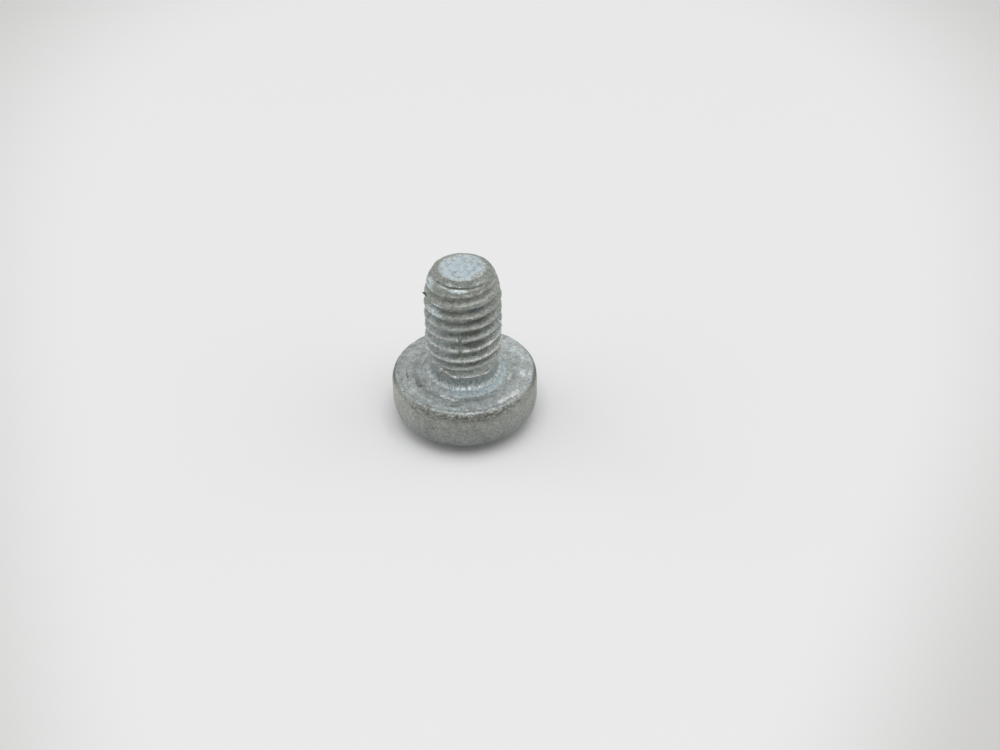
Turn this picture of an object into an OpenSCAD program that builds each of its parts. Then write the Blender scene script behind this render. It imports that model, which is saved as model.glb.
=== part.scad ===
// Pan head machine screw with a cross recess, in one forged and rolled piece.
// It stands on its head: the floor is z = 0, the shank points up along +Z.
// The thread is a right-hand, single-start 60 degree thread with rolled crests.

/* [Head] */
// Diameter of the head
head_d = 9.15; // [8.5:0.05:12]
// Height of the head, from the bearing face to the top of the crown
head_h = 3.6; // [3.2:0.1:5]
// Radius of the slightly domed crown
crown_r = 14.5; // [10:0.5:40]
// Radius of the corner between the side and the crown
corner_r = 1.3; // [0.6:0.05:2]
// Depth, across the head, of the rounded edge next to the bearing face
rim_w = 0.35; // [0.1:0.05:0.6]
// Height, up the side, of the rounded edge next to the bearing face
rim_h = 0.55; // [0.2:0.05:0.9]

// Diameter of the low raised collar round the neck, at its top
collar_d = 5.3; // [5.2:0.05:6.2]
// Height of the collar over the bearing face
collar_h = 0.1; // [0.05:0.01:0.2]

/* [Cross recess] */
// Distance between the tips of opposite wings, at the crown
recess_d = 4.9; // [4.2:0.1:5.4]
// Depth of the recess along the axis
recess_depth = 2.4; // [1.8:0.1:2.6]
// Width of a wing at the crown
wing_w = 1.45; // [1:0.05:1.6]
// Draft of the flanks of a wing, in degrees
wing_draft = 3.5; // [1:0.5:5]
// Slope of the outer ends of the wings, in degrees from the axis
wing_slope = 26.5; // [20:0.5:30]
// Diameter of the core between the wings, at the crown
core_d = 2.3; // [2.1:0.05:2.6]
// Height of the pointed bottom of the core
core_point_h = 0.6; // [0.3:0.1:1]

/* [Shank] */
// Length from the bearing face to the tip
shank_l = 7.8; // [5:0.1:20]
// Diameter over the thread crests
thread_d = 4.75; // [4.6:0.05:5.4]
// Distance between neighbouring crests
pitch = 0.8; // [0.6:0.05:1]
// Depth of the thread from crest to root, as a share of the pitch
thread_depth = 0.61; // [0.5:0.01:0.62]
// Height of the crest on the front (-Y) side over the bearing face, less whole pitches
thread_phase = 0.1; // [0:0.05:0.8]
// Diameter of the plain neck under the head
neck_d = 4.2; // [4:0.05:4.5]
// Length of the plain neck, from the bearing face to the start of the run-out
neck_l = 0.95; // [0.6:0.05:1.6]
// Length over which the thread rises from the neck to its full height
runout_l = 0.8; // [0.3:0.05:1]
// Radius of the fillet between the neck and the collar
fillet_r = 0.4; // [0.15:0.05:0.5]
// Diameter of the flat at the tip
tip_d = 2.9; // [2.5:0.05:3.6]
// Length of the rounded lead-in between the tip's flat and the full thread
tip_l = 2.5; // [0.8:0.1:3]
// Width of the chamfer between the tip's flat and the rounded lead-in
chamfer_w = 0.4; // [0.1:0.05:0.4]

/* [Resolution] */
// Facets of the thread in one turn
turn_steps = 48; // [24:12:60]
// Segments in each rounded corner of an outline
arc_steps = 10; // [6:1:16]

/* [Hidden] */
steel = [0.68, 0.71, 0.72];

head_r = head_d / 2;
crest_r = thread_d / 2;
root_r = crest_r - thread_depth * pitch;
neck_r = neck_d / 2;
tip_r = tip_d / 2;
core_r = core_d / 2;
collar_r = collar_d / 2;

// The apex of the crown is cut away by the core of the recess. The screw
// stands on the edge of that core, so the apex would lie this far below z = 0.
apex_sag = crown_r - sqrt(pow(crown_r, 2) - pow(core_r, 2));
bearing_z = head_h - apex_sag;
tip_z = bearing_z + shank_l;
collar_z = bearing_z + collar_h;

// The corner is tangent to the side and, inwards, to the crown.
corner_x = head_r - corner_r;
crown_z = crown_r - apex_sag;
corner_z = crown_z - sqrt(pow(crown_r - corner_r, 2) - pow(corner_x, 2));
meet_angle = asin(corner_x / (crown_r - corner_r));

// How far a cutting or joining solid runs past the face that it crosses
overrun = 0.5;

// Thread form over one pitch, from root to root: [share of pitch, share of depth]
thread_form = [[0, 0], [0.11, 0.04], [0.36, 0.78], [0.44, 0.97], [0.56, 0.97], [0.64, 0.78], [0.89, 0.04]];
form_n = len(thread_form);

// Points nearer to an end of the thread than this share of the pitch join that end.
end_gap = 0.03;

// Facets of a whole circle of the head, and of the core of its recess
head_facets = 128;
core_facets = 64;

// The neck's fillet is drawn in steps of this angle. Its last step lies in the collar.
fillet_step = 15;

// Bottom of the core's point, as a share of the core's diameter
point_share = 0.125;

// Below this share of its width, the lead-in counts as plain.
least_plain = 0.2;

// The chamfer ends at least this far inside the plain part of the lead-in, in degrees.
chamfer_gap = 1;

function arc(x, z, rx, rz, from, to) =
    [for (i = [0:arc_steps])
        let (a = from + (to - from) * i / arc_steps)
        [x + rx * cos(a), z + rz * sin(a)]];

// Outline of the head from the axis, along the crown and the side, over the
// bearing face and up the sloping edge of the collar
function head_outline() = concat(
    arc(0, crown_z, crown_r, crown_r, -90, meet_angle - 90),
    arc(corner_x, corner_z, corner_r, corner_r, meet_angle - 90, 0),
    arc(head_r - rim_w, bearing_z - rim_h, rim_w, rim_h, 0, 90),
    [[collar_r + collar_h, bearing_z], [collar_r, collar_z], [0, collar_z]]);

// Outline of the neck from inside the head, round the fillet, to the run-out
fillet_foot = 90 - fillet_step;
function neck_outline() = concat(
    [[neck_r + fillet_r * (1 - cos(fillet_foot)), collar_z - overrun]],
    [for (a = [fillet_foot:-fillet_step:0])
        [neck_r + fillet_r * (1 - cos(a)), collar_z + fillet_r * (1 - sin(a))]],
    [[neck_r, bearing_z + neck_l]]);

// The lead-in at the tip is a quarter of an ellipse, with a chamfer next to the
// flat. Above plain_angle it is narrower than the thread's root, so it is smooth
// from there to the flat.
lead_w = crest_r - tip_r;
plain_angle = asin(max((root_r - tip_r) / lead_w, least_plain));
chamfer_angle = min(asin(min(chamfer_w / lead_w, 1)), plain_angle - chamfer_gap);
function lead_point(a) = [tip_r + lead_w * sin(a), tip_z - tip_l + tip_l * cos(a)];
function tip_outline() = [for (a = [plain_angle, chamfer_angle, 0]) lead_point(a)];
function envelope(z) =
    let (t = min(max((z - tip_z + tip_l) / tip_l, 0), 1))
    tip_r + lead_w * sqrt(1 - pow(t, 2));

function thread_r(z, share) =
    let (
        rise = min(max((z - bearing_z - neck_l) / runout_l, 0), 1),
        full = root_r + (crest_r - root_r) * share
    )
    min(neck_r + (full - neck_r) * rise, envelope(z));

// Height of a point of the thread: column j goes round the shank from the
// front (-Y) side, and the points i of a column follow each other upwards.
spare_turns = 2;
first_turn = floor((neck_l - thread_phase) / pitch) - spare_turns;
turns = ceil(shank_l / pitch) - first_turn + spare_turns;
function thread_z(j, i) =
    bearing_z + thread_phase
    + pitch * (first_turn + floor(i / form_n) + thread_form[i % form_n][0] - 0.5 + j / turn_steps);

module thread_shank() {
    neck = neck_outline();
    tip = tip_outline();
    turn_rows = turns * form_n;
    first_tip = len(neck) + turn_rows;
    rows = first_tip + len(tip);
    low_z = bearing_z + neck_l + end_gap * pitch;
    high_z = tip[0][1] - end_gap * pitch;

    function is_ring(i) = i < len(neck) || i >= first_tip;
    function ring(i) = i < len(neck) ? neck[i] : tip[i - first_tip];

    // Radius and height of row i in column j
    function form_point(z, i) = [thread_r(z, thread_form[i % form_n][1]), z];
    function side_point(j, i) =
        is_ring(i) ? ring(i) : form_point(thread_z(j, i - len(neck)), i - len(neck));
    function point(j, i) =
        let (a = 360 * j / turn_steps - 90, p = side_point(j, i))
        [p[0] * cos(a), p[0] * sin(a), p[1]];

    // A thread point past either end of the thread is replaced by that end's ring.
    function row(j, i) =
        is_ring(i) ? i
        : thread_z(j, i - len(neck)) < low_z ? len(neck) - 1
        : thread_z(j, i - len(neck)) > high_z ? first_tip
        : i;
    function index(j, i) = j * rows + row(j, i);

    // The thread climbs one pitch in a turn, so beside the last column the
    // first one stands a whole thread form further up.
    function beside(j, i) =
        j + 1 < turn_steps ? index(j + 1, i)
        : is_ring(i) ? index(0, i)
        : index(0, min(i + form_n, first_tip));

    points = [for (j = [0:turn_steps - 1], i = [0:rows - 1]) point(j, i)];
    walls = [
        for (j = [0:turn_steps - 1], i = [0:rows - 2])
            let (a = index(j, i), b = index(j, i + 1), c = beside(j, i + 1), d = beside(j, i))
            each [[a, b, c], [a, c, d]]
    ];
    sides = [for (f = walls) if (f[0] != f[1] && f[1] != f[2] && f[0] != f[2]) f];
    bottom = [for (j = [0:turn_steps - 1]) j * rows];
    flat = [for (j = [turn_steps - 1:-1:0]) j * rows + rows - 1];

    color(steel) polyhedron(points, concat(sides, [bottom, flat]), convexity = 12);
}

// One pair of opposite wings: a wedge narrowed both ways towards its bottom
module wing_pair() {
    end_r = recess_d / 2 - recess_depth * tan(wing_slope);
    mouth_r = recess_d / 2 + overrun * tan(wing_slope);
    bottom_w = wing_w / 2 - recess_depth * tan(wing_draft);
    mouth_w = wing_w / 2 + overrun * tan(wing_draft);
    intersection() {
        rotate([90, 0, 0])
            linear_extrude(2 * wing_w, center = true)
                polygon([[-mouth_r, -overrun], [mouth_r, -overrun],
                         [end_r, recess_depth], [-end_r, recess_depth]]);
        rotate([90, 0, 90])
            linear_extrude(2 * recess_d, center = true)
                polygon([[-mouth_w, -overrun], [mouth_w, -overrun],
                         [bottom_w, recess_depth], [-bottom_w, recess_depth]]);
    }
}

module cross_recess() {
    core_h = recess_depth - core_point_h;
    wall_tan = tan(wing_draft);
    wing_pair();
    rotate([0, 0, 90]) wing_pair();
    translate([0, 0, -overrun])
        cylinder(h = core_h + overrun, r1 = core_r + overrun * wall_tan,
                 r2 = core_r - core_h * wall_tan, $fn = core_facets);
    translate([0, 0, core_h])
        cylinder(h = core_point_h, r1 = core_r - core_h * wall_tan,
                 r2 = core_d * point_share, $fn = core_facets);
}

module pan_head() {
    color(steel)
        difference() {
            rotate_extrude($fn = head_facets) polygon(head_outline());
            cross_recess();
        }
}

module machine_screw() {
    union() {
        pan_head();
        thread_shank();
    }
}

machine_screw();
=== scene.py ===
"""Zinc-plated pan head machine screw, standing on its head on a plain pale floor.

The screw is one closed mesh. Its head, neck and tip are rows of points round the
axis, its thread is a Geometry Nodes tree, and wear is moved into the joined skin.
Lengths are in metres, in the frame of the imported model: the floor is z = 0, the
shank points up along +Z and the camera looks along +Y and down.
"""
import math

import bmesh
import bpy
import numpy as np
from bpy.props import FloatProperty, FloatVectorProperty, IntProperty, PointerProperty
from mathutils import Matrix, Vector, noise


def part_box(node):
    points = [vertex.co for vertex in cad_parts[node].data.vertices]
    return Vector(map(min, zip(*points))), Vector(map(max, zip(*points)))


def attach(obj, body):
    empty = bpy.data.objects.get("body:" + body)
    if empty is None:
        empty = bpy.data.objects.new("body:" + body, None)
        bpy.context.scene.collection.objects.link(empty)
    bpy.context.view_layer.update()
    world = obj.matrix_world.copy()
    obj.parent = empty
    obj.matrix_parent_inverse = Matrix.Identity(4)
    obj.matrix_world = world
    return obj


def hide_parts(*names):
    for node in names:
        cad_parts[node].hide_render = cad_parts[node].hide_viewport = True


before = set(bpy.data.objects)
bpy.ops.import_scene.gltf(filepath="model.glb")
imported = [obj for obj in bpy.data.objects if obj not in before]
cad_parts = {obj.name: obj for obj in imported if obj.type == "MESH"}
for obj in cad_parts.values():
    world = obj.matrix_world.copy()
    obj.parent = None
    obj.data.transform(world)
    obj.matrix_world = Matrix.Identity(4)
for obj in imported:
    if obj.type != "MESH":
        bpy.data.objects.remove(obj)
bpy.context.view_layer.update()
NODE_LOW, NODE_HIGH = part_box("machine_screw")

bl_info = {
    "name": "Pan head machine screw",
    "version": (1, 0, 0),
    "blender": (4, 5, 0),
    "location": "3D View > Sidebar > Screw",
    "description": "Makes a worn zinc-plated pan head screw and its studio",
    "category": "Object",
}

MM = 0.001
TURN = 2 * math.pi
FRONT = -math.pi / 2

# Steps of the skin, counted along its outline
END_STEPS = 9
FLANK_STEPS = 24
RECESS_FLOOR_ROWS = 5
RECESS_WALL_ROWS = 10
MOUTH_ROWS = 3
CROWN_BLEND_ROWS = 8
CROWN_ROWS = 6
CORNER_ROWS = 15
SIDE_ROWS = 16
RIM_ROWS = 11
FACE_ROWS = 22
COLLAR_ROWS = 8
FILLET_ROWS = 7
NECK_ROWS = 5
LEAD_ROWS = 6
EDGE_ROWS = 4
TIP_ROWS = 12

# Points of the skin nearer to each other than this are one point.
WELD = 0.0002 * MM


def length(name, size, description):
    """A length that a user may change, given in millimetres and kept in metres."""
    return FloatProperty(
        name=name, description=description, default=size * MM, min=0, precision=5, unit="LENGTH"
    )


def angle(name, degrees, description):
    """An angle that a user may change, given in degrees and kept in radians."""
    return FloatProperty(
        name=name, description=description, default=math.radians(degrees), subtype="ANGLE"
    )


def colour(name, value, description):
    """A colour that a user may change, as linear red, green and blue."""
    return FloatVectorProperty(
        name=name, description=description, default=value, min=0, max=1, size=3, subtype="COLOR"
    )


def share(name, value, description, top=1):
    """A plain number that a user may change."""
    return FloatProperty(name=name, description=description, default=value, min=0, max=top)


class ScrewSizes(bpy.types.PropertyGroup):
    """Sizes of the screw, the same as in the part's source."""

    head_d: length("Head diameter", (NODE_HIGH[0] - NODE_LOW[0]) / MM, "Diameter of the head")
    head_h: length("Head height", 3.6, "From the bearing face to the top of the crown")
    crown_r: length("Crown radius", 14.5, "Radius of the slightly domed crown")
    corner_r: length("Corner radius", 1.3, "Corner between the side and the crown")
    rim_w: length("Rim width", 0.35, "Rounded edge of the bearing face, measured across the head")
    rim_h: length("Rim height", 0.55, "Rounded edge of the bearing face, measured up the side")
    collar_d: length("Collar diameter", 5.3, "Low raised collar round the neck")
    collar_h: length("Collar height", 0.1, "Height of the collar over the bearing face")
    recess_d: length("Recess width", 4.9, "Between the tips of opposite wings")
    recess_depth: length("Recess depth", 2.4, "Depth of the cross recess")
    wing_w: length("Wing width", 1.45, "Width of a wing at the crown")
    wing_draft: angle("Wing draft", 3.5, "Draft of the flanks of a wing")
    wing_slope: angle("Wing slope", 26.5, "Slope of the outer ends of the wings")
    core_d: length("Core diameter", 2.3, "Core between the wings")
    core_point_h: length("Core point", 0.6, "Height of the pointed bottom of the core")
    shank_l: length("Shank length", 7.8, "From the bearing face to the tip")
    thread_d: length("Thread diameter", 4.75, "Diameter over the crests")
    pitch: length("Pitch", 0.8, "Between neighbouring crests")
    thread_depth: share("Thread depth", 0.61, "Crest to root, as a share of the pitch")
    thread_phase: length("Thread phase", 0.1, "Crest height at the front, less whole pitches")
    neck_d: length("Neck diameter", 4.2, "Plain neck under the head")
    neck_l: length("Neck length", 0.95, "From the bearing face to the run-out")
    runout_l: length("Run-out length", 0.8, "Over which the thread rises from the neck")
    fillet_r: length("Neck fillet", 0.4, "Fillet between the neck and the collar")
    tip_d: length("Tip diameter", 2.9, "Flat at the tip")
    tip_l: length("Lead-in length", 2.5, "Rounded lead-in between the flat and the full thread")
    chamfer_w: length("Chamfer width", 0.4, "Chamfer between the flat and the rounded lead-in")
    columns: IntProperty(
        name="Columns", description="Columns of the skin round the axis, a multiple of 8",
        default=304, min=304, max=400, step=8,
    )
    turn_rows: IntProperty(
        name="Rows per turn", description="Rows of the skin in one pitch of the thread",
        default=20, min=8, max=40,
    )


class ScrewWear(bpy.types.PropertyGroup):
    """How far wear and rough making move the surface of the screw."""

    side: length("Side", 0.012, "Unevenness of the forged side")
    chips: length("Rim chips", 0.045, "Depth of the chips round the bearing face")
    face: length("Bearing face", 0.012, "Unevenness of the bearing face")
    beads: length("Crest beads", 0.03, "Height of the torn beads on the crests")
    drift: length("Thread drift", 0.12, "How far above its run-out the thread lies low")
    seam: length("Crest seam", 0.04, "Depth of the seam in the unfinished crests at the tip")
    groove: length("Lead-in groove", 0.13, "Depth of the thread's groove where it enters the lead-in")
    flank: length("Thread flanks", 0.022, "Unevenness of the flanks")
    runout: length("Long run-out", 0.35, "Added to the length over which the thread rises")
    lip: length("Run-out lip", 0.13, "Height of the torn lip where the thread runs out")
    tip: length("Tip", 0.012, "Unevenness of the flat at the tip")
    nick: length("Nick", 0.16, "Depth of the nick across the crests")
    burr: length("Burr", 0.62, "Length of the burr on a crest")


class ScrewFinish(bpy.types.PropertyGroup):
    """Colours of the plating, of what stains it, and of painted highlights and painted shade."""

    side: colour("Side", (0.35, 0.36, 0.34), "Plating of the head's side and crown")
    face: colour("Bearing face", (0.395, 0.43, 0.425), "Plating of the bearing face")
    thread: colour("Thread", (0.318, 0.34, 0.332), "Plating of the thread")
    neck: colour("Neck", (0.275, 0.308, 0.31), "Plating of the neck")
    tip: colour("Tip", (0.487, 0.57, 0.605), "Plating of the tip's flat")
    tip_dark: colour("Tip mottling", (0.285, 0.337, 0.36), "Darker places of the tip's flat")
    ring: colour("Collar", (0.338, 0.399, 0.42), "Clean plating of the collar round the neck")
    lead_in: colour("Chamfer", (0.16, 0.17, 0.158), "Chamfer between the flat and the thread")
    # Pale blue is also laid on the thread's left flanks as a painted reflection of light from the
    # left.
    pale: colour("Pale blue", (0.5, 0.57, 0.59), "Bluer passivated places")
    olive: colour("Olive", (0.26, 0.275, 0.243), "Dull olive places")
    # Bright metal: real on chips and flecks, and a painted highlight on the crests, the fillet, the
    # chamfer and along the run-out's lip.
    bare_and_highlight: colour("Bright metal", (0.68, 0.7, 0.69), "Rubbed crests, chips and flecks")
    # Dark colour: real dirt in pits and round the rim, and painted shade in the thread's roots, in the
    # chamfer's groove, under crests and outside the collar.
    soil_and_shade: colour("Soil", (0.09, 0.09, 0.065), "Dark soil in pits and round the rim")
    stain: colour("Stain", (0.1, 0.13, 0.17), "Blue-black stain on a flank")
    roughness: share("Roughness", 0.5, "Roughness of the plating")


class StageSettings(bpy.types.PropertyGroup):
    """Floor, light and camera."""

    floor: colour("Floor", (0.79, 0.79, 0.79), "Pale floor near the screw")
    # Painted falloff of the light on the floor away from the screw
    floor_falloff: colour("Far floor", (0.6, 0.595, 0.585), "Floor away from the screw")
    floor_r: length("Floor radius", 700, "Radius of the floor")
    world: share("World light", 0.525, "Strength of the light from all round", 4)
    key: share("Key lamp", 2.08, "Power of the large panel overhead, in watts", 10)
    fill: share("Fill lamp", 0.05, "Power of the lamp at the left, in watts", 10)
    camera_place: FloatVectorProperty(
        name="Camera", description="Place of the camera", size=3, precision=5, unit="LENGTH",
        default=(2.237 * MM, -72.052 * MM, 61.79 * MM),
    )
    camera_tilt: angle("Camera tilt", 39.206, "How far the camera looks down")
    camera_roll: angle("Camera roll", 0.36, "Turn of the camera about its own view")
    camera_lens: FloatProperty(
        name="Lens", description="Focal length on a 36 mm wide sensor", default=52.81,
        unit="CAMERA",
    )


# Small helpers for objects and node trees


def make_object(name, data):
    """Makes an object and links it to the scene."""
    made = bpy.data.objects.new(name, data)
    bpy.context.scene.collection.objects.link(made)
    return made


def empty_tree(owner):
    """The node tree of a material or a world, without any node."""
    owner.use_nodes = True
    owner.node_tree.nodes.clear()
    return owner.node_tree


def plug(tree, socket, value):
    """Links a socket into an input, or writes a plain value on it."""
    if isinstance(value, bpy.types.NodeSocket):
        tree.links.new(value, socket)
    else:
        socket.default_value = value


def add(tree, kind, inputs=None, **settings):
    """Adds one node, sets its settings and fills its inputs."""
    made = tree.nodes.new(kind)
    for name, value in settings.items():
        setattr(made, name, value)
    for key, value in (inputs or {}).items():
        plug(tree, made.inputs[key], value)
    return made


def axes_of(tree, vector):
    """X, Y and Z of a vector."""
    return add(tree, "ShaderNodeSeparateXYZ", {0: vector}).outputs


def object_place(tree):
    """Where a point is on its object."""
    return add(tree, "ShaderNodeTexCoord").outputs["Object"]


def calc(tree, operation, *values, clamp=False):
    """One step of arithmetic on numbers."""
    made = add(tree, "ShaderNodeMath", dict(enumerate(values)), operation=operation)
    made.use_clamp = clamp
    return made.outputs[0]


def squares(tree, first, second):
    """The sum of two squares."""
    return calc(tree, "ADD", calc(tree, "POWER", first, 2), calc(tree, "POWER", second, 2))


def ramp(tree, value, low, high):
    """0 below low, 1 above high, and a smooth rise between them. Low may be above high."""
    falling = isinstance(low, (int, float)) and isinstance(high, (int, float)) and low > high
    if falling:
        return calc(tree, "SUBTRACT", 1, ramp(tree, value, high, low))
    made = add(
        tree, "ShaderNodeMapRange", {"Value": value, "From Min": low, "From Max": high},
        interpolation_type="SMOOTHSTEP",
    )
    return made.outputs["Result"]


def blend(tree, mask, under, over):
    """Lays one colour over another where the mask is 1."""
    made = tree.nodes.new("ShaderNodeMix")
    made.data_type = "RGBA"
    plug(tree, made.inputs["Factor"], mask)
    for key, value in ((6, under), (7, over)):
        plug(tree, made.inputs[key], value)
    return made.outputs[2]


def toned(tree, base, tone):
    """Multiplies a colour or another vector by a tone, or by another vector."""
    made = add(tree, "ShaderNodeVectorMath", {0: base, 1: tone}, operation="MULTIPLY")
    return made.outputs[0]


def rgba(value):
    """A colour property as the four numbers of a socket."""
    return (*value, 1)


def socket_of(group, name, in_out, kind, default=None):
    """Adds one named input or output to a node group."""
    made = group.interface.new_socket(name=name, in_out=in_out, socket_type=kind)
    if default is not None:
        made.default_value = default
    return made


# The skin as rows of points round the axis


def derived(s):
    """Radii and heights that follow from the sizes, as in the part's source."""
    core_r = s.core_d / 2
    corner_x = s.head_d / 2 - s.corner_r
    apex_sag = s.crown_r - math.sqrt(s.crown_r**2 - core_r**2)
    bearing_z = s.head_h - apex_sag
    crest_r = s.thread_d / 2
    tip_r = s.tip_d / 2
    root_r = crest_r - s.thread_depth * s.pitch
    plain = math.asin(min(s.chamfer_w / (crest_r - tip_r), 1))
    tip_z = bearing_z + s.shank_l
    crown_z = s.crown_r - apex_sag
    return {
        "head_r": s.head_d / 2,
        "crest_r": crest_r,
        "root_r": root_r,
        "neck_r": s.neck_d / 2,
        "tip_r": tip_r,
        "corner_x": corner_x,
        "crown_z": crown_z,
        "corner_z": crown_z - math.sqrt((s.crown_r - s.corner_r) ** 2 - corner_x**2),
        "meet": math.asin(corner_x / (s.crown_r - s.corner_r)),
        "bearing_z": bearing_z,
        "collar_z": bearing_z + s.collar_h,
        "low_z": bearing_z + s.neck_l,
        "tip_z": tip_z,
        "high_z": tip_z - s.tip_l + s.tip_l * math.cos(plain),
    }


def rise(value, low, high):
    """0 below low, 1 above high, and a straight rise between them."""
    return min(max((value - low) / (high - low), 0), 1)


def hump(value, middle, half_width, height):
    """A smooth hump, or a dip where the height is below 0."""
    return height * math.exp(-(((value - middle) / half_width) ** 2))


def ring(radius, height, columns):
    """One row of the skin: points round the axis, anticlockwise from the front."""
    turn = FRONT + TURN * np.arange(columns) / columns
    return np.column_stack(
        [radius * np.cos(turn), radius * np.sin(turn), np.full(columns, height)]
    )


def spread(low, high, count):
    """Steps from low to high, without low itself."""
    return np.linspace(low, high, count + 1)[1:]


def crown_height(s, d, radius):
    """Height of the domed crown at a radius."""
    return d["crown_z"] - np.sqrt(s.crown_r**2 - radius**2)


# Bottom of the core's point, as a share of the core's diameter, and the least radius of the
# core in half widths of a wing, which keeps a corner between two wings
POINT_SHARE = 0.125
LEAST_CORE = 1.42

# Rounding of the recess's mouth, and how far outside the recess the rows become circles
MOUTH_R = 0.06 * MM
CIRCLE_MARGIN = 0.5 * MM


def cross_eighth(s, depth, grow):
    """Recess outline from the middle of a wing's end to the corner between two wings."""
    arc_steps = s.columns // 8 - END_STEPS - FLANK_STEPS
    core_h = s.recess_depth - s.core_point_h
    draft = math.tan(s.wing_draft)
    core_low = s.core_d / 2 - core_h * draft
    point_r = s.core_d * POINT_SHARE
    reach = s.recess_d / 2 - depth * math.tan(s.wing_slope) + grow
    half = s.wing_w / 2 - depth * draft + grow
    cone = core_low + (point_r - core_low) * (depth - core_h) / s.core_point_h
    core = np.where(depth < core_h, s.core_d / 2 - depth * draft, cone) + grow
    core = np.maximum(core, LEAST_CORE * half)
    inner = np.sqrt(core**2 - half**2)
    end = np.arange(END_STEPS) / END_STEPS
    flank = np.arange(FLANK_STEPS) / FLANK_STEPS
    arc = np.arange(arc_steps + 1) / arc_steps
    starts = [END_STEPS, END_STEPS + FLANK_STEPS]
    on_end, on_flank, on_core = np.split(np.arange(s.columns // 8 + 1), starts)
    first = np.arctan2(half, inner)[on_core]
    turn = first + (math.pi / 4 - first) * arc
    x = np.concatenate([
        reach[on_end],
        reach[on_flank] + (inner[on_flank] - reach[on_flank]) * flank,
        core[on_core] * np.cos(turn),
    ])
    y = np.concatenate([half[on_end] * end, half[on_flank], core[on_core] * np.sin(turn)])
    return x, y


def cross_row(s, depth, grow=0.0, height=None):
    """One row of the skin along the recess outline at a depth below the crown's edge."""
    depth = np.broadcast_to(np.asarray(depth, float), (s.columns // 8 + 1,))
    x, y = cross_eighth(s, depth, grow)
    z = depth if height is None else height(np.hypot(x, y))
    along = np.column_stack([x, y, z])
    back = along[::-1][:, [1, 0, 2]]
    quarter = np.concatenate([along[:-1], back[:-1]])
    rows = []
    for step in range(4):
        turn = FRONT + step * math.pi / 2
        cos, sin = round(math.cos(turn)), round(math.sin(turn))
        rows.append(
            np.column_stack([
                quarter[:, 0] * cos - quarter[:, 1] * sin,
                quarter[:, 0] * sin + quarter[:, 1] * cos,
                quarter[:, 2],
            ])
        )
    return np.concatenate(rows)


def recess_rows(s, d):
    """Rows from the middle of the recess's floor up to its rounded mouth."""

    def on_crown(radius):
        return crown_height(s, d, radius)

    floor = cross_row(s, s.recess_depth)
    centre = np.array([0, 0, s.recess_depth])
    rows = [centre + (floor - centre) * part for part in spread(0, 1, RECESS_FLOOR_ROWS)]
    # Where the recess meets the crown, and how deep the crown lies there, follow in two steps.
    edge = np.zeros(s.columns // 8 + 1)
    for _ in range(2):
        edge = on_crown(np.hypot(*cross_eighth(s, edge, 0.0)))
    for part in spread(0, 1, RECESS_WALL_ROWS):
        rows.append(cross_row(s, s.recess_depth + (edge + MOUTH_R - s.recess_depth) * part))
    for turn in spread(0, math.pi / 2, MOUTH_ROWS):
        sunk = MOUTH_R * (1 - math.sin(turn))
        out = MOUTH_R * (1 - math.cos(turn))
        rows.append(cross_row(s, edge, out, lambda radius: on_crown(radius) + sunk))
    return rows


def crown_rows(s, d, mouth):
    """Rows from the mouth of the recess, over the crown, to its rounded corner."""
    blend_r = s.recess_d / 2 + CIRCLE_MARGIN
    circle = ring(blend_r, 0, s.columns)
    rows = []
    for part in spread(0, 1, CROWN_BLEND_ROWS):
        row = mouth + (circle - mouth) * part
        row[:, 2] = crown_height(s, d, np.hypot(row[:, 0], row[:, 1]))
        rows.append(row)
    for radius in spread(blend_r, s.crown_r * math.sin(d["meet"]), CROWN_ROWS):
        rows.append(ring(radius, crown_height(s, d, radius), s.columns))
    return rows


def side_outline(s, d):
    """Outline of the corner, the side and the rounded rim, as (radius, height)."""
    points = []
    for turn in spread(d["meet"] - math.pi / 2, 0, CORNER_ROWS):
        points.append((
            d["corner_x"] + s.corner_r * math.cos(turn),
            d["corner_z"] + s.corner_r * math.sin(turn),
        ))
    rim_z = d["bearing_z"] - s.rim_h
    for height in spread(d["corner_z"], rim_z, SIDE_ROWS):
        points.append((d["head_r"], height))
    for turn in spread(0, math.pi / 2, RIM_ROWS):
        points.append((
            d["head_r"] - s.rim_w + s.rim_w * math.cos(turn),
            rim_z + s.rim_h * math.sin(turn),
        ))
    return points


# Waves that forging left in the bearing face: middle radius, half width and height
FACE_WAVES = (
    (4.08 * MM, 0.08 * MM, -0.02 * MM),
    (3.65 * MM, 0.25 * MM, 0.03 * MM),
    (3.1 * MM, 0.17 * MM, -0.03 * MM),
)

# The collar slopes down to this far outside its top, and the waves end this far from the fillet.
COLLAR_SLOPE_W = 0.22 * MM
WAVE_END_W = 0.05 * MM


def face_outline(s, d):
    """Outline of the bearing face and of the collar, from the rim to the fillet."""
    fillet_foot = d["neck_r"] + s.fillet_r
    outer = s.collar_d / 2 + COLLAR_SLOPE_W
    radii = [
        *spread(d["head_r"] - s.rim_w, outer, FACE_ROWS),
        *spread(outer, fillet_foot, COLLAR_ROWS),
    ]
    points = []
    for radius in radii:
        height = s.collar_h * (1 - rise(radius, fillet_foot, outer))
        height += sum(hump(radius, *wave) for wave in FACE_WAVES)
        fade = rise(radius, fillet_foot, fillet_foot + WAVE_END_W)
        points.append((radius, d["collar_z"] + (height - s.collar_h) * fade))
    return points


def neck_outline(s, d):
    """Outline of the fillet and the neck, up to the thread."""
    points = []
    for turn in spread(math.pi / 2, 0, FILLET_ROWS):
        points.append((
            d["neck_r"] + s.fillet_r * (1 - math.cos(turn)),
            d["collar_z"] + s.fillet_r * (1 - math.sin(turn)),
        ))
    for height in spread(points[-1][1], d["low_z"], NECK_ROWS):
        points.append((d["neck_r"], height))
    return points


# Half width of the rounded edge of the tip's flat, and radius of the row nearest its middle
TIP_EDGE = 0.05 * MM
MIDDLE_R = 0.1 * MM


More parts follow.
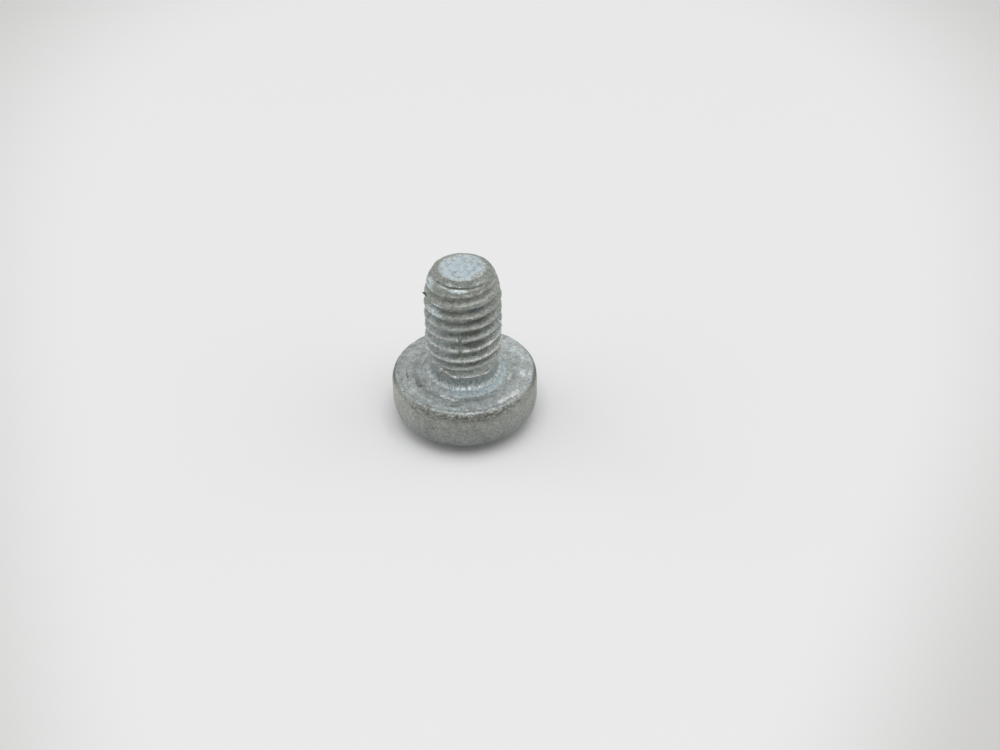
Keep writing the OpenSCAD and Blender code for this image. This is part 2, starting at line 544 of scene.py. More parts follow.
def tip_outline(s, d):
    """Outline from the end of the thread over the chamfer to near the middle of the flat."""
    points = [(d["tip_r"] + s.chamfer_w, d["high_z"])]
    fall = (d["tip_z"] - d["high_z"]) / s.chamfer_w
    for radius in spread(d["tip_r"] + s.chamfer_w, d["tip_r"] + TIP_EDGE, LEAD_ROWS):
        points.append((radius, d["tip_z"] - (radius - d["tip_r"]) * fall))
    for part in spread(0, 1, EDGE_ROWS):
        radius = d["tip_r"] + TIP_EDGE * (1 - 2 * part)
        points.append((radius, d["tip_z"] - TIP_EDGE * fall * (1 - part) ** 2))
    for radius in spread(d["tip_r"] - TIP_EDGE, MIDDLE_R, TIP_ROWS):
        points.append((radius, d["tip_z"]))
    return points


def skin_mesh(name, rows, first=None, last=None):
    """Joins rows of points into quads. A point at either end closes that end."""
    columns = len(rows[0])
    points = [*np.concatenate(rows)]
    column = np.arange(columns)
    beside = np.roll(column, -1)
    faces = []
    for row in range(len(rows) - 1):
        low, high = row * columns, (row + 1) * columns
        faces.append(np.column_stack([low + column, low + beside, high + beside, high + column]))
    faces = np.concatenate(faces).tolist()
    pairs = list(zip(column.tolist(), beside.tolist()))
    if first is not None:
        faces += [[len(points), b, a] for a, b in pairs]
        points.append(first)
    if last is not None:
        end = (len(rows) - 1) * columns
        faces += [[len(points), end + a, end + b] for a, b in pairs]
        points.append(last)
    mesh = bpy.data.meshes.new(name)
    mesh.from_pydata([tuple(point) for point in points], [], faces)
    return mesh


def head_mesh(s, d):
    """Head, collar and neck: closed at the recess, open where the thread starts."""
    rows = recess_rows(s, d)
    rows += crown_rows(s, d, rows[-1])
    outline = side_outline(s, d) + face_outline(s, d) + neck_outline(s, d)
    rows += [ring(radius, height, s.columns) for radius, height in outline]
    return skin_mesh("head", rows, first=(0, 0, s.recess_depth))


def tip_mesh(s, d):
    """Lead-in and flat: open where the thread ends."""
    rows = [ring(radius, height, s.columns) for radius, height in tip_outline(s, d)]
    return skin_mesh("tip", rows, last=(0, 0, d["tip_z"]))


# The thread as a Geometry Nodes tree

# Form of the thread over one pitch: share of the pitch, share of the depth
THREAD_FORM = (
    (0.0, 0.0), (0.09, 0.03), (0.17, 0.19), (0.34, 0.72), (0.42, 0.93),
    (0.5, 1.0), (0.58, 0.93), (0.66, 0.72), (0.83, 0.19), (0.91, 0.03), (1.0, 0.0),
)
# Form of the seam that rolling leaves in an unfinished crest
SEAM_FORM = (
    (0.0, 0.0), (0.34, 0.0), (0.41, 0.35), (0.5, 1.0), (0.59, 0.35), (0.66, 0.0), (1.0, 0.0),
)

# The thread drifts down between these many pitches above the neck.
DRIFT_RISE = (0.3, 2.2)

# Gap at either end, and the amount that keeps a whole row from being rounded down, in pitches
END_GAP = 0.02
ROUNDING = 0.0001

# Shares of its height that the lead-in leaves of a crest where the seam sets in, and ends
SEAM_SETS_IN = (0.95, 0.5)
SEAM_ENDS = (0.1, 0.25)


def form_curve(tree, value, form):
    """Looks a value up in a form, with straight lines between its points."""
    made = add(tree, "ShaderNodeFloatCurve", {"Value": value})
    curve = made.mapping.curves[0]
    for place, height in form[1:-1]:
        curve.points.new(place, height)
    for point, (place, height) in zip(curve.points, form):
        point.location = (place, height)
        point.handle_type = "AUTO_CLAMPED"
    made.mapping.update()
    return made.outputs[0]


def switch(tree, test, plain, other):
    """The plain number, or the other one where the test holds."""
    inputs = {0: test, 1: plain, 2: other}
    return add(tree, "GeometryNodeSwitch", inputs, input_type="FLOAT").outputs[0]


def thread_tree():
    """The tree: a grid wound round the shank, one pitch up in each turn."""
    tree = bpy.data.node_groups.new("Screw thread", "GeometryNodeTree")
    socket_of(tree, "Geometry", "INPUT", "NodeSocketGeometry")
    for name in ("Columns", "Rows per turn", "Turns", "First turn"):
        socket_of(tree, name, "INPUT", "NodeSocketInt")
    for name in (
        "Pitch", "Crest radius", "Root radius", "Neck radius", "Tip radius", "Front crest",
        "Neck top", "Run-out", "Lead-in start", "Lead-in length", "Thread end", "Seam depth",
        "Groove depth", "Groove fade", "Drift",
    ):
        socket_of(tree, name, "INPUT", "NodeSocketFloat")
    socket_of(tree, "Material", "INPUT", "NodeSocketMaterial")
    socket_of(tree, "Geometry", "OUTPUT", "NodeSocketGeometry")
    given = add(tree, "NodeGroupInput").outputs

    rows = calc(tree, "MULTIPLY", given["Rows per turn"], given["Turns"])
    grid = add(tree, "GeometryNodeMeshGrid", {
        "Size X": given["Columns"],
        "Size Y": rows,
        "Vertices X": calc(tree, "ADD", given["Columns"], 1),
        "Vertices Y": calc(tree, "ADD", rows, 1),
    })
    place = axes_of(tree, add(tree, "GeometryNodeInputPosition").outputs[0])
    lap = calc(tree, "ADD", calc(tree, "DIVIDE", place["X"], given["Columns"]), 0.5)
    row = calc(tree, "ADD", place["Y"], calc(tree, "DIVIDE", rows, 2))
    row = calc(tree, "ROUND", row)
    turn = calc(tree, "DIVIDE", row, given["Rows per turn"])
    part = calc(tree, "FRACT", calc(tree, "ADD", turn, ROUNDING))

    first = calc(tree, "ADD", given["First turn"], turn)
    pitches = calc(tree, "ADD", first, calc(tree, "SUBTRACT", lap, 0.5))
    free_z = calc(tree, "MULTIPLY_ADD", given["Pitch"], pitches, given["Front crest"])
    climbed = calc(tree, "SUBTRACT", free_z, given["Neck top"])
    climbed = calc(tree, "DIVIDE", climbed, given["Pitch"])
    drift = calc(tree, "MULTIPLY", ramp(tree, climbed, *DRIFT_RISE), given["Drift"])
    free_z = calc(tree, "SUBTRACT", free_z, drift)

    # Points close to an end of the thread are drawn to that end.
    gap = calc(tree, "MULTIPLY", given["Pitch"], END_GAP)
    below = calc(tree, "LESS_THAN", free_z, calc(tree, "ADD", given["Neck top"], gap))
    above = calc(tree, "GREATER_THAN", free_z, calc(tree, "SUBTRACT", given["Thread end"], gap))
    height = switch(tree, below, free_z, given["Neck top"])
    height = switch(tree, above, height, given["Thread end"])

    led = calc(tree, "SUBTRACT", height, given["Lead-in start"])
    lead = calc(tree, "DIVIDE", led, given["Lead-in length"], clamp=True)
    narrow = calc(tree, "SQRT", calc(tree, "SUBTRACT", 1, calc(tree, "MULTIPLY", lead, lead)))
    lead_w = calc(tree, "SUBTRACT", given["Crest radius"], given["Tip radius"])
    envelope = calc(tree, "MULTIPLY_ADD", lead_w, narrow, given["Tip radius"])

    # In the lead-in the groove stays a little below the surface, and fades out near the flat.
    fade = ramp(tree, calc(tree, "SUBTRACT", given["Thread end"], height), 0.0, given["Groove fade"])
    sunk = calc(tree, "SUBTRACT", envelope, calc(tree, "MULTIPLY", given["Groove depth"], fade))
    root = calc(tree, "MINIMUM", given["Root radius"], sunk)
    depth = calc(tree, "SUBTRACT", given["Crest radius"], root)
    full = calc(tree, "MULTIPLY_ADD", depth, form_curve(tree, part, THREAD_FORM), root)
    risen = calc(tree, "SUBTRACT", height, given["Neck top"])
    risen = calc(tree, "DIVIDE", risen, given["Run-out"], clamp=True)
    over_neck = calc(tree, "SUBTRACT", full, given["Neck radius"])
    threaded = calc(tree, "MULTIPLY_ADD", over_neck, risen, given["Neck radius"])
    radius = calc(tree, "MINIMUM", threaded, envelope)

    # The crests that the lead-in cuts off were never filled: they keep a seam.
    left = calc(tree, "DIVIDE", calc(tree, "SUBTRACT", envelope, root), depth)
    cut = calc(tree, "MULTIPLY", ramp(tree, left, *SEAM_SETS_IN), ramp(tree, left, *SEAM_ENDS))
    seam = calc(tree, "MULTIPLY", form_curve(tree, part, SEAM_FORM), cut)
    radius = calc(tree, "SUBTRACT", radius, calc(tree, "MULTIPLY", seam, given["Seam depth"]))

    turned = calc(tree, "MULTIPLY_ADD", lap, TURN, FRONT)
    point = add(tree, "ShaderNodeCombineXYZ", {
        "X": calc(tree, "MULTIPLY", radius, calc(tree, "COSINE", turned)),
        "Y": calc(tree, "MULTIPLY", radius, calc(tree, "SINE", turned)),
        "Z": height,
    })
    wound = add(tree, "GeometryNodeSetPosition", {
        "Geometry": grid.outputs["Mesh"], "Position": point.outputs[0],
    })
    welded = add(tree, "GeometryNodeMergeByDistance", {
        "Geometry": wound.outputs[0], "Distance": WELD,
    })
    real = add(tree, "GeometryNodeRealizeInstances", {0: welded.outputs[0]})
    dressed = add(tree, "GeometryNodeSetMaterial", {
        "Geometry": real.outputs[0], "Material": given["Material"],
    })
    add(tree, "NodeGroupOutput", {0: dressed.outputs[0]})
    return tree


# Length over which the thread's groove fades out near the flat
GROOVE_FADE_L = 0.1 * MM


def thread_mesh(s, d, wear, material):
    """Runs the tree once and returns its result as a plain mesh, open at both ends."""
    first_turn = math.floor((s.neck_l - s.thread_phase) / s.pitch) - 1
    turns = math.ceil((d["high_z"] - d["bearing_z"]) / s.pitch) - first_turn + 1
    values = {
        "Columns": s.columns,
        "Rows per turn": s.turn_rows,
        "Turns": turns,
        "First turn": first_turn,
        "Pitch": s.pitch,
        "Crest radius": d["crest_r"],
        "Root radius": d["root_r"],
        "Neck radius": d["neck_r"],
        "Tip radius": d["tip_r"],
        "Front crest": d["bearing_z"] + s.thread_phase,
        "Neck top": d["low_z"],
        "Run-out": s.runout_l + wear.runout,
        "Lead-in start": d["tip_z"] - s.tip_l,
        "Lead-in length": s.tip_l,
        "Thread end": d["high_z"],
        "Seam depth": wear.seam,
        "Groove depth": wear.groove,
        "Groove fade": GROOVE_FADE_L,
        "Drift": wear.drift,
        "Material": material,
    }
    blank = make_object("thread_blank", bpy.data.meshes.new("thread_blank"))
    modifier = blank.modifiers.new("Thread", "NODES")
    modifier.node_group = thread_tree()
    for item in modifier.node_group.interface.items_tree:
        if item.in_out == "INPUT" and item.name in values:
            modifier[item.identifier] = values[item.name]
    depsgraph = bpy.context.evaluated_depsgraph_get()
    mesh = bpy.data.meshes.new_from_object(blank.evaluated_get(depsgraph))
    bpy.data.objects.remove(blank)
    return mesh


# Wear, moved into the joined skin. Heights are over the bearing face, and turns from the front.

# Sizes of the coarse and the fine part of each kind of unevenness
SIDE_GRAIN = (0.9 * MM, 0.3 * MM)
CHIP_GRAIN = (0.24 * MM, 0.12 * MM)
DENT_GRAIN = (0.22 * MM, 0.1 * MM)
BEAD_GRAIN = (0.11 * MM, 0.06 * MM)
FLANK_GRAIN = (0.4 * MM, 0.16 * MM)
TIP_GRAIN = (0.3 * MM, 0.12 * MM)
TORN_GRAIN = 0.07 * MM


def grain(point, size, seed):
    """Smooth noise between about -1 and 1, with features of one size."""
    return noise.noise(point / size + Vector((seed, 2.3 * seed, 5.1 * seed)))


def two_grains(point, sizes, seed, fine=0.5):
    """Coarse noise with finer noise on it, at a share of its strength."""
    return grain(point, sizes[0], seed) + fine * grain(point, sizes[1], seed + 1)


def between(value, low, high, soft):
    """1 between low and high, falling to 0 over a soft edge outside them."""
    out = max(low - value, value - high, 0)
    return max(1 - out / soft, 0)


# Radii and heights of the chipped ring at the rim, and radii of the dented bearing face. The
# third number of such a range is its soft edge.
CHIPPED_R = (4.14 * MM, 4.7 * MM, 0.12 * MM)
CHIPPED_Z = (-0.42 * MM, 0.1 * MM, 0.2 * MM)
DENTED_R = (2.95 * MM, 4.2 * MM, 0.15 * MM)
DENTED_LOW_Z = -0.05 * MM

# Chips are dug where their noise is above the first number. Metal is pushed up where it is
# below minus the second one, at a share of the chips' depth.
CHIP_LEVEL = 0.05
PUSHED_LEVEL = 0.25
PUSHED_SHARE = 0.35


def head_wear(point, radius, height, wear):
    """How far wear moves a point of the head, outwards."""
    move = wear.side * two_grains(point, SIDE_GRAIN, seed=1)
    at_rim = between(radius, *CHIPPED_R) * between(height, *CHIPPED_Z)
    if at_rim:
        chip = two_grains(point, CHIP_GRAIN, seed=3, fine=0.6)
        move -= wear.chips * at_rim * max(chip - CHIP_LEVEL, 0)
        move += PUSHED_SHARE * wear.chips * at_rim * max(-chip - PUSHED_LEVEL, 0)
    if height > DENTED_LOW_Z and radius < DENTED_R[1]:
        dent = two_grains(point, DENT_GRAIN, seed=5)
        move += wear.face * dent * between(radius, *DENTED_R)
    return move


# The groove below the chamfer at the tip: its turns in degrees, and its depth as a share of
# the lead-in groove's
GROOVE_TURNS = (-20, 28, 35)
GROOVE_Z = 7.49 * MM
GROOVE_HALF_W = 0.06 * MM
GROOVE_SHARE = 0.4

# The torn lip where the thread runs out: turns in degrees, heights in millimetres
LIP_TURNS = (-75, -50, -41, -33, -21, -7, 13, 40, 80)
LIP_HEIGHTS = (1.55, 1.4, 1.24, 1.15, 1.07, 1.03, 1.05, 1.02, 1.04)
LIP_REACH = (0.8, 1.6)
LIP_FULL_TURNS = (-58, 48, 16)
LIP_HALF_W = 0.035 * MM

# The place where the lip is torn most, and the least that it stands out there
TORN_TURNS = (-21, -7, 2)
TORN_HEIGHTS = (0.9, 1.13, 0.05)
TORN_LEVEL = 0.7


def front_turn(point):
    """Turn of a point from the front, in degrees: positive towards +X."""
    return math.degrees(math.atan2(point.x, -point.y))


def tip_groove(point, height, wear):
    """Depth of the groove below the chamfer at the tip, which shows in front."""
    part = between(front_turn(point), *GROOVE_TURNS)
    return part * hump(height, GROOVE_Z, GROOVE_HALF_W, GROOVE_SHARE * wear.groove)


def lip_move(point, height, wear):
    """How far the torn lip stands out at a point."""
    turn = front_turn(point)
    level = height / MM
    if not LIP_TURNS[0] < turn < LIP_TURNS[-1] or not LIP_REACH[0] < level < LIP_REACH[1]:
        return 0
    lip_z = np.interp(turn, LIP_TURNS, LIP_HEIGHTS) * MM
    fade = between(turn, *LIP_FULL_TURNS)
    torn = between(turn, *TORN_TURNS) * between(level, *TORN_HEIGHTS)
    ragged = TORN_LEVEL + grain(point, TORN_GRAIN, seed=13)
    return fade * hump(height, lip_z, LIP_HALF_W, wear.lip) + wear.lip * torn * ragged


# Radii between which the torn beads of the crests set in
BEADED_R = (2.2 * MM, 2.32 * MM)

# Noise on the flanks is this many times finer along the axis than round it. Wear of the thread
# sets in over this length above the neck.
FLANK_DRAWN = 2.5
WEAR_RISE_L = 0.2 * MM


def thread_wear(point, radius, height, s, wear):
    """How far wear moves a point of the shank, outwards."""
    drawn = Vector((point.x, point.y, FLANK_DRAWN * point.z))
    beads = wear.beads * rise(radius, *BEADED_R) * two_grains(point, BEAD_GRAIN, seed=7)
    uneven = wear.flank * two_grains(drawn, FLANK_GRAIN, seed=9)
    return rise(height, s.neck_l, s.neck_l + WEAR_RISE_L) * (beads + uneven)


# The nick across two crests near the front, and the burr on a crest at the left. Their turns
# are about the axis, from +X.
NICK_TURN = math.radians(-94)
NICK_HALF_W = 0.09 * MM
NICK_Z = (3.1 * MM, 4.2 * MM, 0.15 * MM)
BURR_TURN = math.radians(-158)
BURR_Z = 6.36 * MM
BURR_R = 0.1 * MM
BURR_FOOT = 0.1 * MM

# The tip's flat is worn from this far below it. The recess isn't worn, nor is its mouth.
FLAT_EDGE = 0.02 * MM
MOUTH_EDGE = 0.2 * MM
MOUTH_Z = -0.5 * MM

# The flat is worn down by this share of its unevenness, so that none of it stands proud.
FLAT_SUNK = 0.8


def cut_nick(radius, turn, height, d, wear):
    """Depth of the nick at a point."""
    along = between(height, *NICK_Z) * rise(radius, d["root_r"], d["crest_r"])
    return along * hump((turn - NICK_TURN) * radius, 0, NICK_HALF_W, wear.nick)


def worn_by(point, radius, turn, height, s, d, wear):
    """How far wear moves a point of the skin, outwards."""
    if height < s.collar_h and radius > d["neck_r"]:
        return head_wear(point, radius, height, wear)
    if point.z > d["tip_z"] - FLAT_EDGE:
        return wear.tip * (two_grains(point, TIP_GRAIN, seed=11) - FLAT_SUNK)
    dug = cut_nick(radius, turn, height, d, wear) + tip_groove(point, height, wear)
    return thread_wear(point, radius, height, s, wear) + lip_move(point, height, wear) - dug


def wear_skin(mesh, s, d, wear):
    """Moves the points of the joined skin along their normals, and draws the burr out."""
    normals = [Vector(item.vector) for item in mesh.vertex_normals]
    hook = Vector((math.cos(BURR_TURN), math.sin(BURR_TURN), 1.0)).normalized()
    for vertex, normal in zip(mesh.vertices, normals):
        point = vertex.co.copy()
        radius = math.hypot(point.x, point.y)
        height = point.z - d["bearing_z"]
        turn = math.atan2(point.y, point.x)
        if radius < s.recess_d / 2 + MOUTH_EDGE and height < MOUTH_Z:
            continue
        vertex.co = point + normal * worn_by(point, radius, turn, height, s, d, wear)
        near = math.hypot((turn - BURR_TURN) * radius, height - BURR_Z)
        if near < BURR_R and radius > d["root_r"] - BURR_FOOT:
            vertex.co += hook * wear.burr * (1 - near / BURR_R)
    mesh.update()


def join_skin(parts):
    """Joins the open meshes into one closed skin."""
    skin = bmesh.new()
    for part in parts:
        skin.from_mesh(part)
        bpy.data.meshes.remove(part)
    bmesh.ops.remove_doubles(skin, verts=skin.verts, dist=WELD)
    bmesh.ops.dissolve_degenerate(skin, edges=skin.edges, dist=WELD / 10)
    bmesh.ops.recalc_face_normals(skin, faces=skin.faces)
    if any(len(edge.link_faces) != 2 for edge in skin.edges):
        raise RuntimeError("The skin of the screw is open")
    for face in skin.faces:
        face.smooth = True
    return skin


# Edges in the recess are crisp from this angle. They are looked for this far above its floor.
SHARP_ANGLE = math.radians(35)
RECESS_MARGIN = 0.1 * MM

# The head's finish ends this far over the collar, and the tip's begins this far below the flat.
COLLAR_MARGIN = 0.02 * MM
TIP_MARGIN = 0.03 * MM


def sharpen_recess(skin, s):
    """Keeps the edges inside the cross recess crisp."""
    for edge in skin.edges:
        middle = (edge.verts[0].co + edge.verts[1].co) / 2
        inside = math.hypot(middle.x, middle.y) < s.recess_d / 2
        if inside and middle.z < s.recess_depth + RECESS_MARGIN:
            edge.smooth = edge.calc_face_angle() < SHARP_ANGLE


def assign_finishes(skin, d):
    """Gives each face the number of its finish: 0 head, 1 shank, 2 tip."""
    for face in skin.faces:
        middle = face.calc_center_median()
        radius = math.hypot(middle.x, middle.y)
        if middle.z < d["collar_z"] + COLLAR_MARGIN:
            face.material_index = 0
        elif middle.z > d["tip_z"] - TIP_MARGIN and radius < d["tip_r"]:
            face.material_index = 2
        else:
            face.material_index = 1


def make_screw(s, wear, finish):
    """The whole screw as one closed piece."""
    d = derived(s)
    materials = (head_zinc(d, finish), shank_zinc(d, finish), tip_zinc(d, finish))
    parts = (head_mesh(s, d), thread_mesh(s, d, wear, materials[1]), tip_mesh(s, d))
    skin = join_skin(parts)
    sharpen_recess(skin, s)
    assign_finishes(skin, d)
    mesh = bpy.data.meshes.new("zinc_screw")
    skin.to_mesh(mesh)
    skin.free()
    for material in materials:
        mesh.materials.append(material)
    wear_skin(mesh, s, d, wear)
    piece = make_object("zinc_screw", mesh)
    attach(piece, "root")
    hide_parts("machine_screw")
    return piece


# Effects that the finishes share


def effect(name, inputs, outputs):
    """Starts a shader node group. Returns it with its inputs."""
    group = bpy.data.node_groups.new(name, "ShaderNodeTree")
    for title, kind, default in inputs:
        socket_of(group, title, "INPUT", kind, default)
    for title, kind in outputs:
        socket_of(group, title, "OUTPUT", kind)
    return group, add(group, "NodeGroupInput").outputs


def close_effect(group, results):
    """Links the results to the outputs of a shader node group."""
    end = add(group, "NodeGroupOutput")
    for title, value in results.items():
        plug(group, end.inputs[title], value)


def place_group():
    """Where a point is on the screw: radius and height over the bearing face in
    millimetres, turn from the front in degrees, and how far it faces the front."""
    if "Place on the screw" in bpy.data.node_groups:
        return bpy.data.node_groups["Place on the screw"]
    inputs = [("Bearing face", "NodeSocketFloat", 0.0)]
    outputs = [(title, "NodeSocketFloat") for title in ("Radius", "Height", "Turn", "Front")]
    group, given = effect("Place on the screw", inputs, outputs)
    axes = axes_of(group, object_place(group))
    radius = calc(group, "SQRT", squares(group, axes["X"], axes["Y"]))
    towards = calc(group, "MULTIPLY", axes["Y"], -1)
    turn = calc(group, "ARCTAN2", axes["X"], towards)
    over = calc(group, "SUBTRACT", axes["Z"], given["Bearing face"])
    close_effect(group, {
        "Radius": calc(group, "DIVIDE", radius, MM),
        "Height": calc(group, "DIVIDE", over, MM),
        "Turn": calc(group, "DEGREES", turn),
        "Front": calc(group, "DIVIDE", towards, radius),
    })
    return group


# The streaks are noise on a circle of radius 1, so their size is set against the neck's radius
# in millimetres. Along the axis they change at this many steps in a metre.
STREAK_CIRCLE = 2.2
STREAKS_ALONG = (0.0, 0.0, 120.0)


def streak_group():
    """Fine streaks that run along the neck and out over the fillet: a value from 0 to 1."""
    if "Streaks" in bpy.data.node_groups:
        return bpy.data.node_groups["Streaks"]
    inputs = [("Size", "NodeSocketFloat", 0.1)]
    group, given = effect("Streaks", inputs, [("Value", "NodeSocketFloat")])
    position = object_place(group)
    flat = toned(group, position, (1.0, 1.0, 0.0))
    round_it = add(group, "ShaderNodeVectorMath", {0: flat}, operation="NORMALIZE")
    height = toned(group, position, STREAKS_ALONG)
    both_ways = add(group, "ShaderNodeVectorMath", {0: round_it.outputs[0], 1: height})
    made = add(group, "ShaderNodeTexNoise", {
        "Vector": both_ways.outputs[0],
        "Scale": calc(group, "DIVIDE", STREAK_CIRCLE, given["Size"]),
        "Detail": 2.0,
        "Roughness": 0.6,
    })
    close_effect(group, {"Value": made.outputs[0]})
    return group


# Steps from one seed's noise to the next one's
SEED_STEP = (1.7, 3.1, 0.9)


def texture(tree, size, seed, detail=2.0, roughness=0.5, stretch=1.0):
    """Noise of one feature size in millimetres, from 0 to 1. Stretch draws it out along the axis."""
    scale = 1 / (size * MM)
    mapped = add(tree, "ShaderNodeMapping", {
        "Vector": object_place(tree),
        "Location": [seed * step for step in SEED_STEP],
        "Scale": (scale, scale, scale / stretch),
    })
    made = add(tree, "ShaderNodeTexNoise", {
        "Vector": mapped.outputs[0], "Scale": 1.0, "Detail": detail, "Roughness": roughness,
    })
    return made.outputs[0]


# Feature sizes of the plating's grain in millimetres, and the share of the fine one in it
FINE_GRAIN = 0.07
COARSE_GRAIN = 0.2
FINE_SHARE = 0.6


def grain_group():
    """Fine crystalline grain of the plating: a tone round 1 and a height."""
    if "Plating grain" in bpy.data.node_groups:
        return bpy.data.node_groups["Plating grain"]
    inputs = [("Contrast", "NodeSocketFloat", 1.0)]
    outputs = [("Tone", "NodeSocketFloat"), ("Height", "NodeSocketFloat")]
    group, given = effect("Plating grain", inputs, outputs)
    fine = calc(group, "MULTIPLY", texture(group, FINE_GRAIN, 1, detail=1.0), FINE_SHARE)
    coarse = calc(group, "MULTIPLY", texture(group, COARSE_GRAIN, 2), 1 - FINE_SHARE)
    mixed = calc(group, "ADD", fine, coarse)
    swing = calc(group, "MULTIPLY", calc(group, "SUBTRACT", mixed, 0.5), given["Contrast"])
    close_effect(group, {"Tone": calc(group, "ADD", swing, 1.0), "Height": mixed})
    return group


# Size of a speck, the noise above which there are specks at amount 0, how much lower it is at
# amount 1, and the noise over which a speck's edge rises
SPECK_SIZE = 0.14 * MM
SPECK_LEVEL = 0.78
SPECK_DROP = 0.5
SPECK_EDGE = 0.06


def speck_group():
    """Scattered specks: 1 in a speck. The larger the amount, the more they cover."""
    if "Specks" in bpy.data.node_groups:
        return bpy.data.node_groups["Specks"]
    inputs = [("Amount", "NodeSocketFloat", 0.2), ("Seed", "NodeSocketFloat", 0.0)]
    group, given = effect("Specks", inputs, [("Mask", "NodeSocketFloat")])
    inputs = {0: object_place(group), "Scale": 1 / SPECK_SIZE}
    scaled = add(group, "ShaderNodeVectorMath", inputs, operation="SCALE")
    made = add(group, "ShaderNodeTexNoise", {
        "Vector": scaled.outputs[0], "W": given["Seed"], "Scale": 1.0, "Detail": 2.5, "Roughness": 0.6,
    }, noise_dimensions="4D")
    drop = calc(group, "MULTIPLY", given["Amount"], SPECK_DROP)
    level = calc(group, "SUBTRACT", SPECK_LEVEL, drop)
    over = calc(group, "SUBTRACT", made.outputs[0], level)
    close_effect(group, {"Mask": calc(group, "DIVIDE", over, SPECK_EDGE, clamp=True)})
    return group


def use(tree, group, inputs=None):
    """Places a shader node group in a tree and returns its outputs."""
    made = add(tree, "ShaderNodeGroup", node_tree=group)
    for key, value in (inputs or {}).items():
        plug(tree, made.inputs[key], value)
    return made.outputs


# The plating is half a metal. Its roughness swings this far round the given one.
METALLIC = 0.55
ROUGH_SWING = 0.1
BUMP_DEPTH = 0.02 * MM


def start_material(name, d):
    """A new material with its shader, its output and where each point is on the screw."""
    material = bpy.data.materials.new(name)
    tree = empty_tree(material)
    shader = add(tree, "ShaderNodeBsdfPrincipled", {"Metallic": METALLIC})
    add(tree, "ShaderNodeOutputMaterial", {"Surface": shader.outputs[0]})
    place = use(tree, place_group(), {"Bearing face": d["bearing_z"]})
    return material, tree, shader, place


def finish_material(tree, shader, finish, base, contrast, patch, patch_height):
    """Lays the plating's grain over the base, and plugs colour, roughness and bump in."""
    grains = use(tree, grain_group(), {"Contrast": contrast})
    plug(tree, shader.inputs["Base Color"], toned(tree, base, grains["Tone"]))
    rough = from_to(tree, patch, finish.roughness - ROUGH_SWING, finish.roughness + ROUGH_SWING)
    plug(tree, shader.inputs["Roughness"], rough)
    height = calc(tree, "MULTIPLY_ADD", patch, patch_height, grains["Height"])
    bump = add(tree, "ShaderNodeBump", {"Strength": 1.0, "Distance": BUMP_DEPTH, "Height": height})
    plug(tree, shader.inputs["Normal"], bump.outputs[0])


def all_of(tree, *masks):
    """1 only where every mask is 1."""
    result = masks[0]
    for mask in masks[1:]:
        result = calc(tree, "MULTIPLY", result, mask)
    return result


def from_to(tree, mask, low, high):
    """A number that goes from low, where the mask is 0, to high, where it is 1."""
    return calc(tree, "MULTIPLY_ADD", mask, high - low, low)


def shade(tree, base, mask, low, high):
    """Multiplies a colour by a tone that goes from low to high with the mask."""
    return toned(tree, base, from_to(tree, mask, low, high))


def coat(tree, base, over, strength, *masks):
    """Lays a colour over the base where every mask is 1. At strength 1 it hides the base."""
    return blend(tree, all_of(tree, *masks, strength), base, rgba(over))


def band(tree, value, low, high, soft):
    """1 between low and high, falling to 0 over a soft edge outside them."""
    return all_of(tree, ramp(tree, value, low - soft, low), ramp(tree, value, high + soft, high))


# A spot is 1 within this square of its reach.
SPOT_CORE = 0.2


def spots(tree, first, second, places):
    """1 in each spot. A place is its two coordinates and how far it reaches along each."""
    result = 0.0
    for at_first, at_second, reach_first, reach_second in places:
        across = calc(tree, "DIVIDE", calc(tree, "SUBTRACT", first, at_first), reach_first)
        along = calc(tree, "DIVIDE", calc(tree, "SUBTRACT", second, at_second), reach_second)
        spot = ramp(tree, squares(tree, across, along), 1.0, SPOT_CORE)
        result = calc(tree, "MAXIMUM", result, spot)
    return result


def specks(tree, amount, seed):
    """Mask of scattered specks."""
    return use(tree, speck_group(), {"Amount": amount, "Seed": seed})["Mask"]


# In the finishes below, radii and heights over the bearing face are in millimetres, turns
# from the front are in degrees, and textures and masks go from 0 to 1.

# Marks on the bearing face: turn, radius, and their reach
BRIGHT_FLECKS = (
    (-23, 2.97, 10, 0.2), (-12, 3.1, 8, 0.16), (83, 3.68, 6, 0.24), (83, 4.15, 4, 0.16),
    (38, 3.93, 8, 0.2), (52, 3.99, 9, 0.26), (-56, 2.75, 6, 0.2), (73, 2.97, 11, 0.15),
    (-75, 2.62, 7, 0.14),
)
DARK_PITS = ((-80, 3.66, 9, 0.14), (-64, 3.2, 14, 0.25), (69, 3.0, 13, 0.16), (-12, 3.75, 10, 0.1))


def head_side(tree, finish, place, blotch, smear):
    """Dull plating of the side and the crown, bluer towards the crown. Painted shade darkens it
    towards the crown, near the floor, and in front; painted light brightens its left.
    """
    side = blend(tree, ramp(tree, blotch, 0.25, 0.75), rgba(finish.side), rgba(finish.olive))
    side = coat(tree, side, finish.soil_and_shade, 0.35, ramp(tree, smear, 0.45, 0.75))
    low = ramp(tree, place["Height"], -0.8, -3.4)
    side = coat(tree, side, finish.neck, 0.5, low)
    # Painted shade: darker towards the crown, where the head stands on the floor.
    side = shade(tree, side, low, 1.05, 0.75)
    # Painted shade: darker in front.
    side = shade(tree, side, ramp(tree, place["Front"], 0.6, 1.0), 1.0, 0.9)
    # Painted light: lighter at the left.
    return shade(tree, side, ramp(tree, place["Turn"], -30, -70), 1.0, 1.2)


